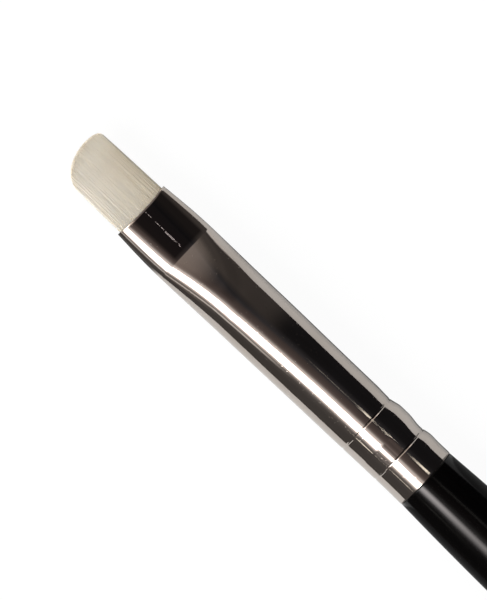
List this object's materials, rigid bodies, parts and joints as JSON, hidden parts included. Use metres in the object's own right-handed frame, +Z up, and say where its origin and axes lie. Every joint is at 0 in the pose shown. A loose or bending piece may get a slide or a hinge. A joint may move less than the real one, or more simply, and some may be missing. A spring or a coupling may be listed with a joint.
{
  "type": "nail art brush",
  "caption": "Flat nail art brush: short ivory nylon hair in a bright metal ferrule pressed flat at its mouth and crimped onto a slim black lacquered handle",
  "frame": {"origin": "middle of the bounding box in X and Y, on the surface that the belly of the handle lies on", "axes": "+X runs along the brush from its hair to the tail of its handle, +Z is up and square to the pressed flats of the ferrule, and +Y is the side of the hair with the square corner"},
  "size_m": [0.175, 0.007, 0.007],
  "materials": {
    "bristle": "ivory nylon filaments, soft sheen",
    "ferrule": "bright nickel plate on brass tube, polished",
    "handle": "turned hardwood under high-gloss black lacquer",
    "thread": "waxed cotton thread",
    "resin": "cured clear amber epoxy"
  },
  "bodies": {
    "root": {"bristle_tuft": "bristle", "ferrule": "ferrule", "handle": "handle", "root_binding": "thread", "resin_plug": "resin"}
  },
  "joints": []
}
